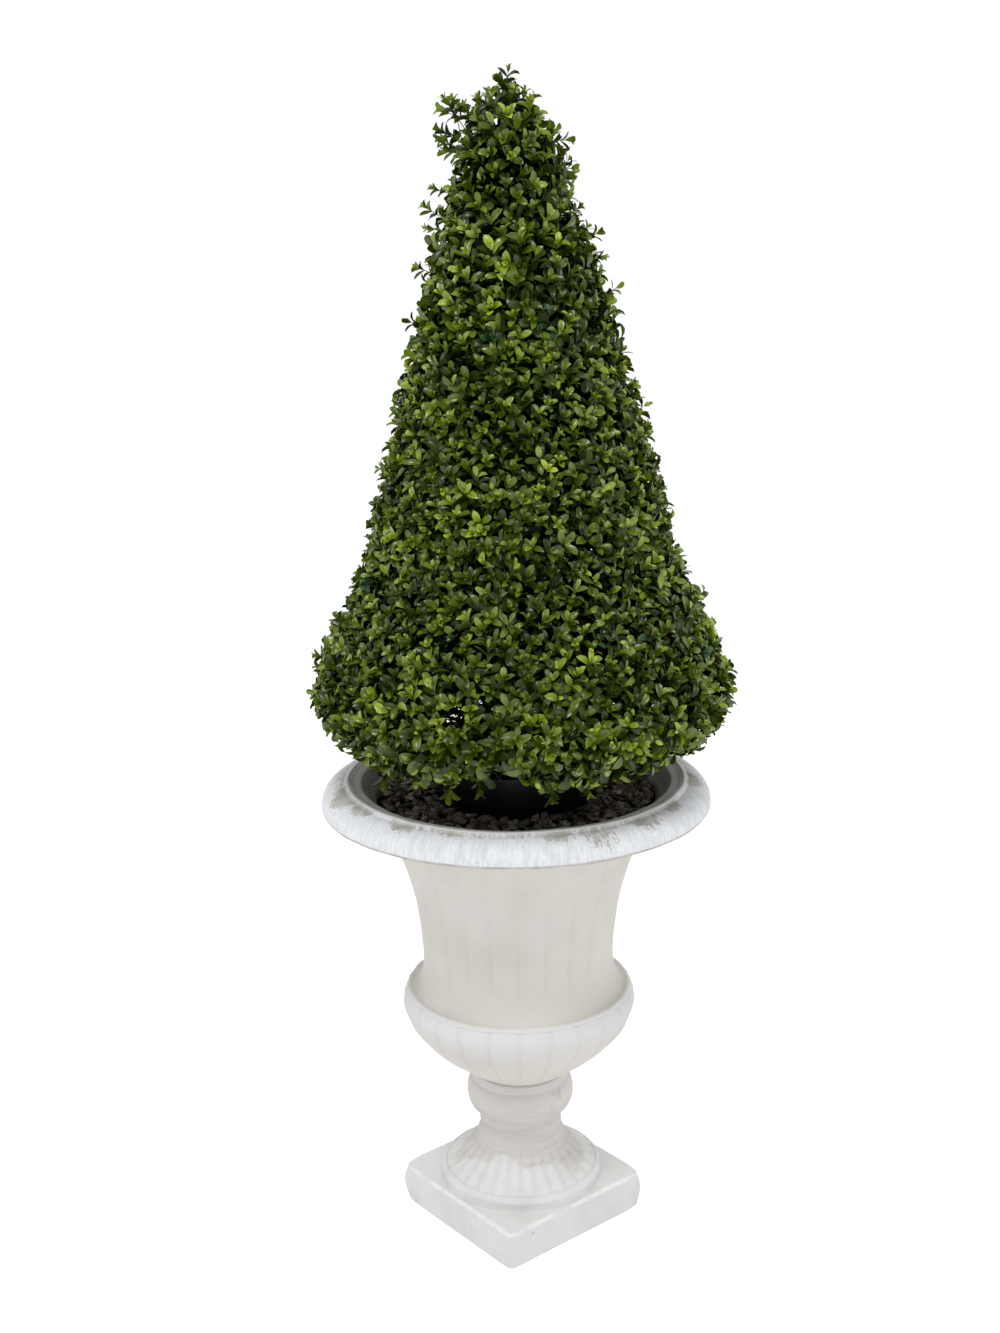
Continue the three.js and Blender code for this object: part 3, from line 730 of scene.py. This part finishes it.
def inner_pot(plastic):
    """The small pot with its band and rolled edge, and the top of its fill."""
    slope = (POT_RADIUS - POT_BASE_RADIUS) / (POT_TOP - POT_BASE)
    band_low = POT_TOP - POT_BAND_HEIGHT
    outline = evenly(
        [(20, POT_BASE), (POT_BASE_RADIUS, POT_BASE), (POT_RADIUS - slope * POT_BAND_HEIGHT, band_low)],
        arc(4, POT_BAND - 1.5, band_low + 1.5, 1.5, 1.5, -90, 0),
        arc(8, POT_BAND - 1.6, POT_TOP - 1.6, 1.6, 1.6, 0, 90),
        arc(8, POT_RADIUS - 1.2, POT_TOP - 1.2, 1.2, 1.2, 90, 180),
        [(POT_RADIUS - 2.5 - slope * 20, FILL_TOP - 1)],
        spacing=4,
    )
    add_piece("pot_wall", lathe(outline, 180), plastic, "inner_pot")
    bumps = lambda angle, r, z, along: 1.2 + 1.2 * value_noise(on_lathe(angle, r, z), 7, 51)
    top = evenly([(STEM_RADIUS + 0.1, FILL_TOP), (POT_RADIUS - 5, FILL_TOP)], spacing=2.5)[::-1]
    fill = pebble_material("pot_fill_dark", (30, 27, 22), (16, 15, 13))
    add_piece("pot_fill_top", lathe(top, 160, bumps), fill, "pot_fill")


def stem(plastic):
    """The pole: a corrugated black tube."""
    z = np.arange(STEM_BASE + 60, STEM_TOP, STEM_PITCH / 6)
    ripple = STEM_RADIUS - 0.9 + 0.9 * np.cos(z * 2 * math.pi / STEM_PITCH)
    add_piece("stem_pole", lathe(np.stack([ripple, z], 1), 28), plastic, "stem")


# ---- Crown ----

CROWN_LINE = spline(CLIPPED_LINE, 300)
# Outer and inner sprigs and arms: how many, and between which heights they end.
OUTER_SPRIGS, INNER_SPRIGS, ARMS = 2150, 1350, 150
OUTER_SPAN, INNER_SPAN, ARM_SPAN = (724, 1614), (760, 1560), (800, 1560)
ARM_DEPTH = 78  # how far inside the clipped outline the arms end
SPRIG_LENGTH, LOOSE_LENGTH = 50, 70
# Sizes of the leaves: of the near-black inner ones, painted shade that closes the crown's dark inside, on
# a loose sprig and over the pot.
INNER_SIZE, LOOSE_SIZE, HANGING_SIZE = 1.6, 0.88, 1.2
LOOSE_STRETCH = 1.35  # of the steps between the pairs of a loose sprig
HEAD_GROWTH, SKIRT_GROWTH = 0.2, 0.16  # how much larger the leaves are near the top and on the skirt
HEAD_THINNING = 0.32  # how many fewer there are near the top
PAIR_PLACES = [0, 2.5, 7, 13, 20, 28]  # millimetres down a sprig from its tip
PAIR_LENGTHS = [11, 17, 20, 21, 20.5, 20]
PAIR_SPREADS = [18, 36, 48, 57, 64, 69]  # degrees from the sprig
HEM_RADIUS, HEM_HEIGHT = 215, 723
FRESH_SEED, BUMP_SEED, TEAL_SEED, HEM_SEED = 61, 63, 67, 71
UP = np.array([0, 0, 1.0])


def crown_radius(z):
    return np.interp(z, CROWN_LINE[:, 1], CROWN_LINE[:, 0])


def toward_head(z):
    return smoothstep(1130, 1400, z)


def clipped_radius(angle, z):
    """The clipped outline, a little fuller on one side below the head."""
    return crown_radius(z) + FULLER * (1 - smoothstep(1250, 1560, z)) * np.cos(angle - FULLER_SIDE)


def unit(v):
    return v / np.maximum(np.linalg.norm(v, axis=-1, keepdims=True), 1e-9)


def square_to(ways):
    """Two unit directions at right angles to each way and to each other."""
    helper = np.where(np.abs(ways[:, 2:]) > 0.9, (1.0, 0.0, 0.0), (0.0, 0.0, 1.0))
    u = unit(np.cross(ways, helper))
    return u, np.cross(ways, u)


def crown_points(count, low, high):
    """Places over the clipped outline, fewer toward the head, with the way that it faces there."""
    z = np.linspace(low, high, 2000)
    area = np.cumsum(crown_radius(z) * (1 - HEAD_THINNING * toward_head(z)))
    share = (np.arange(count) + 0.5) / count * area[-1]
    height = np.interp(share, area, z) + rng.normal(0, 3, count)
    angle = np.arange(count) * GOLDEN_ANGLE + rng.normal(0, 0.02, count)
    slope = (crown_radius(height + 10) - crown_radius(height - 10)) / 20
    facing = unit(np.stack([np.cos(angle), np.sin(angle), -slope], 1))
    return on_lathe(angle, clipped_radius(angle, height), height), facing


BRIGHT, LIGHT, MIDDLE, DARK, TEAL, PAINTED_SHADE = range(6)


def leaf_green(fresh, teal, pair):
    """Which green a leaf has: bright at the tips of fresh sprigs, darker further in."""
    dice = rng.random(len(fresh))
    if pair == 0:
        green = np.where(fresh > 0.70, BRIGHT, np.where(fresh > 0.40, LIGHT, MIDDLE))
    elif pair == 1:
        paler = np.where(fresh > 0.82, BRIGHT, LIGHT)
        green = np.where(fresh > 0.55, paler, np.where(fresh > 0.26, MIDDLE, DARK))
    elif pair == 2:
        green = np.where(fresh > 0.8, LIGHT, np.where(fresh > 0.45, MIDDLE, DARK))
    else:
        green = np.where(dice < 0.3, MIDDLE, DARK)
    return np.where(teal & (dice < 0.8), TEAL, green)


def grow_sprigs(tips, ways, pairs, green_of, size=1.0, stretch=1.0):
    """Leaves in opposite pairs down each sprig: roots, directions, upper sides, lengths and greens."""
    u, v = square_to(ways)
    count = len(tips)
    first = rng.uniform(0, math.pi, count)
    vigour = rng.uniform(0.86, 1.12, count)
    open_out = rng.normal(0, 7, count)
    leaves = []
    for pair in range(pairs):
        root = tips - ways * PAIR_PLACES[pair] * stretch
        for side in (0, math.pi):
            angle = first + side + pair * math.pi / 2 + rng.normal(0, 0.16, count)
            spread = np.radians(PAIR_SPREADS[pair] + open_out + rng.normal(0, 6, count))[:, None]
            outward = u * np.cos(angle)[:, None] + v * np.sin(angle)[:, None]
            along = ways * np.cos(spread) + outward * np.sin(spread)
            along = unit(along + rng.normal(0, 0.06, ways.shape))
            length = size * PAIR_LENGTHS[pair] * vigour * rng.uniform(0.88, 1.1, count)
            leaves.append((root, along, ways, length, green_of(pair)))
    return [np.concatenate(part) for part in zip(*leaves)]


# One leaf: how far along, how far to the side and how high each point lies.
LEAF_ROWS = [(0.13, 0.36, 0.020), (0.38, 0.80, 0.042), (0.65, 1.00, 0.022), (0.90, 0.74, -0.045)]
LEAF_FOLD, LEAF_TIP = 0.11, -0.095
LEAF_WIDTH = 0.23  # half its width, as a share of its length
LEAVES_PER_PIECE = 12000


def leaf_template():
    """Points, triangles and quads of an oval leaf, folded a little along its middle."""
    points = [(0, 0, 0)]
    for along, wide, high in LEAF_ROWS:
        edge = high + LEAF_FOLD * wide
        points += [(along, -wide, edge), (along, 0, high), (along, wide, edge)]
    points.append((1, 0, LEAF_TIP))
    last = len(points) - 1
    triangles = [(0, 2, 1), (0, 3, 2), (last - 3, last - 2, last), (last - 2, last - 1, last)]
    quads = []
    for row in range(len(LEAF_ROWS) - 1):
        k = 1 + 3 * row
        quads += [(k, k + 1, k + 4, k + 3), (k + 1, k + 2, k + 5, k + 4)]
    return np.array(points, float), np.array(triangles), np.array(quads)


def leaf_points(roots, along, above, length):
    """The points of every leaf, twisted and curled a little by chance."""
    side = unit(np.cross(above, along))
    lift = np.cross(along, side)
    twist = rng.normal(0, 0.28, len(roots))[:, None]
    side, lift = side * np.cos(twist) + lift * np.sin(twist), lift * np.cos(twist) - side * np.sin(twist)
    curl = rng.uniform(0.3, 2.0, len(roots))
    width = LEAF_WIDTH * rng.uniform(0.88, 1.12, len(roots))
    t = leaf_template()[0]
    return (
        roots[:, None]
        + along[:, None] * (t[:, 0] * length[:, None])[..., None]
        + side[:, None] * (t[:, 1] * (length * width)[:, None])[..., None]
        + lift[:, None] * (t[:, 2] * (length * curl)[:, None])[..., None]
    )


def leaf_pieces(points, green, looks):
    """Joined leaves of each green, in pieces small enough to export."""
    _, triangles, quads = leaf_template()
    for kind, look in enumerate(looks):
        chosen = np.flatnonzero(green == kind)
        for part, start in enumerate(range(0, len(chosen), LEAVES_PER_PIECE)):
            some = points[chosen[start : start + LEAVES_PER_PIECE]]
            shift = (np.arange(len(some)) * points.shape[1])[:, None, None]
            faces = [(triangles + shift).reshape(-1, 3), (quads + shift).reshape(-1, 4)]
            add_piece(f"{look.name}_{part}", (some.reshape(-1, 3), faces), look, "crown")


def rods(starts, ends, thick, thin, sides=3):
    """Points and faces of straight tapering rods."""
    u, v = square_to(unit(ends - starts))
    turn = np.arange(sides) * 2 * math.pi / sides
    ring = u[:, None] * np.cos(turn)[:, None] + v[:, None] * np.sin(turn)[:, None]
    points = np.concatenate([starts[:, None] + ring * thick, ends[:, None] + ring * thin], 1)
    k = np.arange(sides)
    quad = np.stack([k, np.roll(k, -1), np.roll(k, -1) + sides, k + sides], 1)
    caps = np.stack([k + sides, k[::-1]])
    shift = (np.arange(len(starts)) * 2 * sides)[:, None, None]
    return points.reshape(-1, 3), [(quad + shift).reshape(-1, 4), (caps + shift).reshape(-1, sides)]


# Sprigs that the shears missed, seen against the sky: across and down in the photograph at their tips,
# and the way that they point there, in degrees clockwise from upright.
LOOSE_SPRIGS = [
    (508, 70, 5), (500, 80, -35), (513, 87, 40), (488, 95, 0), (478, 99, -20), (465, 106, -25),
    (445, 100, -35), (453, 101, -12), (443, 111, -70), (440, 130, -60), (441, 139, -105), (446, 152, -85),
    (519, 108, 20), (524, 117, 45), (536, 127, 5), (556, 130, 55), (567, 140, 88), (560, 148, 125),
    (568, 161, 40), (573, 168, 80), (571, 174, 125), (434, 189, -75), (426, 208, -60), (428, 228, -80),
    (578, 208, 50), (587, 228, 50), (598, 233, 65), (603, 257, 80), (418, 268, -70), (618, 287, 60),
    (409, 322, -75), (380, 468, -80), (645, 425, 70), (318, 655, -80), (314, 692, -85),
]
# The same, for the other sides: angle round the axis, height, distance from it, and lean in degrees.
FAR_SPRIGS = [
    (-30, 1606, 24, 12), (125, 1588, 62, 45), (60, 1576, 64, 35), (140, 1545, 82, 62),
    (30, 1520, 88, 70), (255, 1546, 76, 52), (290, 1500, 92, 60),
]
# Sprigs that hang over the pot and the gravel: across and down at their tips.
HANGING_SPRIGS = [(449, 795), (481, 787), (384, 781), (551, 795), (590, 792), (570, 773), (416, 779)]
HANGING_RADIUS = 195

# Places where the sky shows through: across and down, and radius in millimetres.
SKY_GAPS = [
    (450, 716, 4.0), (458, 714, 5.0), (461, 722, 3.0), (484, 707, 2.0), (506, 718, 1.0), (542, 717, 1.0),
    (617, 713, 2.0), (636, 717, 1.0), (497, 122, 2.5), (477, 139, 1.5), (480, 182, 1.0), (549, 150, 1.5),
]


def sprig_ways(facing, lift, spread):
    return unit(facing + UP * lift + rng.normal(0, spread, facing.shape))


def leaning(side, degrees):
    """A direction that leans from upright to one side."""
    return side * math.sin(math.radians(degrees)) + UP * math.cos(math.radians(degrees))


def crown():
    looks = [
        leaf_material("leaf_bright", (156, 173, 46), (128, 151, 32), 0.36),
        leaf_material("leaf_light", (123, 143, 36), (100, 122, 24), 0.33),
        leaf_material("leaf_middle", (90, 109, 20), (69, 89, 11), 0.31, 0.55),
        leaf_material("leaf_dark", (58, 74, 9), (37, 52, 4), 0.30, 0.4),
        leaf_material("leaf_teal", (66, 98, 58), (46, 78, 46), 0.32),
        leaf_material("leaf_painted_shade", (15, 21, 5), (8, 13, 2), 0.5, 0.1),
    ]
    count = OUTER_SPRIGS
    points, facing = crown_points(count, *OUTER_SPAN)
    hanging_down = smoothstep(790, 735, points[:, 2])[:, None]
    ways = sprig_ways(facing, 0.55 - 1.05 * hanging_down, 0.36)
    bumps = 5 * value_noise(points, 95, BUMP_SEED) + 4 * value_noise(points, 42, BUMP_SEED + 1)
    proud = np.where(rng.random(count) < 0.12, rng.uniform(3, 12, count), 0)
    tips = points - facing * (rng.uniform(2, 18, count) - bumps - proud)[:, None]
    clumps = 0.5 + 0.5 * value_noise(tips, 50, FRESH_SEED)
    fresh = np.clip(0.62 * rng.random(count) + 0.46 * clumps, 0, 1)
    teal = (value_noise(tips, 110, TEAL_SEED) > 0.5) & (rng.random(count) < 0.07)
    on_skirt = smoothstep(960, 790, tips[:, 2])
    larger = 1 + HEAD_GROWTH * toward_head(tips[:, 2]) + SKIRT_GROWTH * on_skirt
    outer = grow_sprigs(tips, ways, 6, lambda pair: leaf_green(fresh, teal, pair), larger)

    loose_tips, loose_ways = loose_sprigs()
    loose_fresh = rng.uniform(0.2, 0.8, len(loose_tips))
    none = np.zeros(len(loose_tips), bool)
    loose_green = lambda pair: leaf_green(loose_fresh, none, pair)
    over_pot = np.arange(len(loose_tips)) >= len(loose_tips) - len(HANGING_SPRIGS)
    loose_size = np.where(over_pot, HANGING_SIZE, LOOSE_SIZE)
    loose = grow_sprigs(loose_tips, loose_ways, 5, loose_green, loose_size, LOOSE_STRETCH)

    # Inner sprigs of near-black leaves: painted shade that keeps the crown's inside dark.
    inner_points, inner_facing = crown_points(INNER_SPRIGS, *INNER_SPAN)
    inner_ways = sprig_ways(inner_facing, 0.2, 0.4)
    inner_tips = inner_points - inner_facing * rng.uniform(26, 52, (INNER_SPRIGS, 1))
    inner = grow_sprigs(inner_tips, inner_ways, 4, lambda pair: np.full(INNER_SPRIGS, PAINTED_SHADE), INNER_SIZE)

    roots, along, above, length, green = [np.concatenate(three) for three in zip(outer, inner, loose)]
    leaves = leaf_points(roots, along, above, length)
    clipped = len(roots) - len(loose[0])
    keep = within_crown(leaves, clipped) & ~in_sky_gap(leaves)
    leaf_pieces(leaves[keep], green[keep], looks)
    every_tip, every_way = np.concatenate([tips, inner_tips]), np.concatenate([ways, inner_ways])
    branches(every_tip, every_way, loose_tips, loose_ways)


def loose_sprigs():
    """Tips and ways of the sprigs that stand out of the clipped outline or hang below it."""
    right, _, forward = (np.array(axis) for axis in camera_axes())
    level = forward * (1, 1, 0)
    tips, ways = [], []
    for across, down, lean in LOOSE_SPRIGS:
        eye, way = sight(across, down)
        tips.append(eye - way * (eye @ level) / (way @ level))
        ways.append(leaning(right, lean))
    for degrees, height, radius, lean in FAR_SPRIGS:
        out = np.array([math.cos(math.radians(degrees)), math.sin(math.radians(degrees)), 0])
        tips.append(out * radius + (0, 0, height))
        ways.append(leaning(out, lean))
    for across, down in HANGING_SPRIGS:
        tips.append(on_cylinder(across, down, HANGING_RADIUS))
        ways.append(-forward * (0.5, 0.5, 0) - UP)
    return np.array(tips), unit(np.array(ways))


def within_crown(leaves, clipped):
    """Which leaves end near the clipped outline, clear of the urn and inside the solids' reach.

    Those from number clipped on are loose, and only have to be inside the reach.
    """
    x, y, z = leaves[:, -1].T
    radius, angle = np.hypot(x, y), np.arctan2(y, x)
    inside = radius < clipped_radius(angle, z) + rng.uniform(2, 17, len(leaves))
    inside &= z > hem_height(angle, radius)
    inside[clipped:] = True
    low, high = np.array(cad_low) / MM, np.array(cad_high) / MM
    return inside & (leaves > low + 0.5).all((1, 2)) & (leaves < high - 0.5).all((1, 2))


def hem_height(angle, radius):
    """The lowest leaves: uneven round the hem, and higher in front of the pot."""
    wavy = 13 * value_noise(on_lathe(angle, 150, np.zeros(len(angle))), 26, HEM_SEED)
    front = math.atan2(camera_place().y, camera_place().x)
    aside = np.degrees(np.arctan2(np.sin(angle - front), np.cos(angle - front)))
    raised = 30 * np.exp(-(((aside + 4) / 11) ** 2))
    return HEM_HEIGHT + wavy + raised + 0.35 * np.maximum(radius - HEM_RADIUS, 0)


def in_sky_gap(leaves):
    """Which leaves cross one of the lines of sight that stay open."""
    gone = np.zeros(len(leaves), bool)
    for across, down, radius in SKY_GAPS:
        eye, way = sight(across, down)
        away = leaves - eye
        distance = np.linalg.norm(away - (away @ way)[..., None] * way, axis=-1)
        gone |= (distance < radius).any(1)
    return gone


def branches(tips, ways, loose_tips, loose_ways):
    """Arms from the pole, side twigs from the arms to the sprigs, and the sprigs' own stalks."""
    look = twig_material()
    feet = tips - ways * SPRIG_LENGTH
    ends, facing = crown_points(ARMS, *ARM_SPAN)
    ends = ends - facing * ARM_DEPTH
    pole = np.zeros_like(ends)
    pole[:, 2] = np.minimum(ends[:, 2] - 0.35 * np.hypot(ends[:, 0], ends[:, 1]), STEM_TOP - 5)
    pole[:, :2] = unit(ends[:, :2]) * STEM_RADIUS * 0.7
    add_piece("crown_arms", rods(pole, ends, 3.2, 1.8, 5), look, "crown")
    nearest = np.array([np.argmin(((ends - foot) ** 2).sum(1)) for foot in feet])
    add_piece("crown_side_twigs", rods(ends[nearest], feet, 1.1, 0.8), look, "crown")
    x, y, z = tips.T
    leafy = np.hypot(x, y) < clipped_radius(np.arctan2(y, x), z) + 3
    starts = np.concatenate([feet[leafy], loose_tips - loose_ways * LOOSE_LENGTH])
    stalks = rods(starts, np.concatenate([tips[leafy], loose_tips]), 0.9, 0.5)
    add_piece("sprig_stalks", stalks, look, "crown")


# ---- Floor, light and camera ----


# Strength of the white world as light and in glossy reflections; the camera sees it at 1.
WORLD_LIGHT, WORLD_GLOSS = 0.66, 0.30
FLOOR_GLOW, FLOOR_REACH = 0.80, 30000
AIM_HEIGHT = 0.9  # metres, of the point that the lights face
# Square softboxes: name, place (right, towards the camera, up) from the plinth in metres, side and watts.
SOFTBOXES = [
    ("key", (-0.5, 1.9, 3.9), 0.9, 54),
    ("left", (-2.6, 0.3, 2.3), 1.6, 19),
    ("right", (2.6, 0.3, 2.3), 1.6, 23),
    ("front", (0.1, 3.2, 0.5), 1.6, 13),
    ("back", (0.2, -1.8, 3.6), 1.6, 34),
]


def studio():
    """A white world and floor, and the softboxes."""
    scene = bpy.context.scene
    scene.view_settings.view_transform = "Standard"
    world = bpy.data.worlds.new("studio")
    scene.world = world
    world.use_nodes = True
    background = world.node_tree.nodes["Background"].inputs
    background["Color"].default_value = (1, 1, 1, 1)
    sky = Tree(world.node_tree)
    ray = sky.node("ShaderNodeLightPath", {})
    inputs = {"Value": ray["Is Camera Ray"], "To Min": WORLD_LIGHT}
    light = sky.node("ShaderNodeMapRange", inputs)["Result"]
    inputs = {"Value": ray["Is Glossy Ray"], "To Min": light, "To Max": WORLD_GLOSS}
    sky.feed(background["Strength"], sky.node("ShaderNodeMapRange", inputs)["Result"])

    floor_look = Shader("studio_floor", roughness=0.9, specular=0.1)
    floor_look.colour((0.3, 0.3, 0.3, 1))
    floor_look.surface["Emission Color"].default_value = (1, 1, 1, 1)
    floor_look.surface["Emission Strength"].default_value = FLOOR_GLOW
    corners = FLOOR_REACH * np.array([(-1, -1, 0), (1, -1, 0), (1, 1, 0), (-1, 1, 0)])
    mesh_object("floor", corners, [np.array([[0, 1, 2, 3]])], floor_look.material)
    for softbox in SOFTBOXES:
        soft_light(*softbox)


def soft_light(name, toward_camera, size, power):
    right, near, height = toward_camera
    place = Matrix.Rotation(CAMERA_AZIMUTH, 3, "Z") @ Vector((right, -near, height))
    data = bpy.data.lights.new(name, "AREA")
    data.size = size
    data.energy = power
    lamp = bpy.data.objects.new(name, data)
    lamp.location = place
    lamp.rotation_mode = "QUATERNION"
    lamp.rotation_quaternion = (Vector((0, 0, AIM_HEIGHT)) - place).to_track_quat("-Z", "Y")
    bpy.context.scene.collection.objects.link(lamp)


def camera_axes():
    """Right, up and forward of the camera."""
    turn = Matrix.Rotation(CAMERA_AZIMUTH, 3, "Z")
    sin_yaw, cos_yaw = math.sin(CAMERA_YAW), math.cos(CAMERA_YAW)
    ahead = math.cos(CAMERA_PITCH)
    forward = Vector((sin_yaw * ahead, cos_yaw * ahead, -math.sin(CAMERA_PITCH)))
    level = Vector((cos_yaw, -sin_yaw, 0))
    over = level.cross(forward)
    right = level * math.cos(CAMERA_ROLL) + over * math.sin(CAMERA_ROLL)
    up = over * math.cos(CAMERA_ROLL) - level * math.sin(CAMERA_ROLL)
    return turn @ right, turn @ up, turn @ forward


def camera_place():
    return Matrix.Rotation(CAMERA_AZIMUTH, 3, "Z") @ Vector((0, -CAMERA_DISTANCE, CAMERA_HEIGHT))


def sight(across, down):
    """The line from the camera's place through a point of the photograph, in millimetres."""
    right, up, forward = (np.array(axis) for axis in camera_axes())
    way = forward * FOCAL_PIXELS + right * (across - PHOTO_WIDTH / 2) - up * (down - PHOTO_HEIGHT / 2)
    return np.array(camera_place()), way / np.linalg.norm(way)


def on_level(across, down, z):
    """Where the line of sight through a point of the photograph meets a level, in millimetres."""
    eye, way = sight(across, down)
    return eye + way * (z - eye[2]) / way[2]


def on_cylinder(across, down, radius):
    """Where it first meets an upright cylinder round the axis."""
    eye, way = sight(across, down)
    a, b, c = way[:2] @ way[:2], eye[:2] @ way[:2], eye[:2] @ eye[:2] - radius**2
    return eye + way * (-b - math.sqrt(b * b - a * c)) / a


def camera():
    data = bpy.data.cameras.new("camera")
    data.sensor_width = SENSOR
    data.lens = FOCAL_PIXELS / PHOTO_HEIGHT * SENSOR
    eye = bpy.data.objects.new("camera", data)
    right, up, forward = camera_axes()
    eye.rotation_mode = "QUATERNION"
    eye.rotation_quaternion = Matrix((right, up, -forward)).transposed().to_quaternion()
    eye.location = camera_place() * MM
    bpy.context.scene.collection.objects.link(eye)
    bpy.context.scene.camera = eye


camera()
studio()
bowl_stone = bowl_material()
belly(bowl_stone)
bowl_body(bowl_stone)
rim()
inner_wall()
pedestal_stone = pedestal_material()
pedestal_shaft(pedestal_stone)
plinth(pedestal_stone)
gravel()
pot_plastic = pot_material()
inner_pot(pot_plastic)
stem(pot_plastic)
crown()
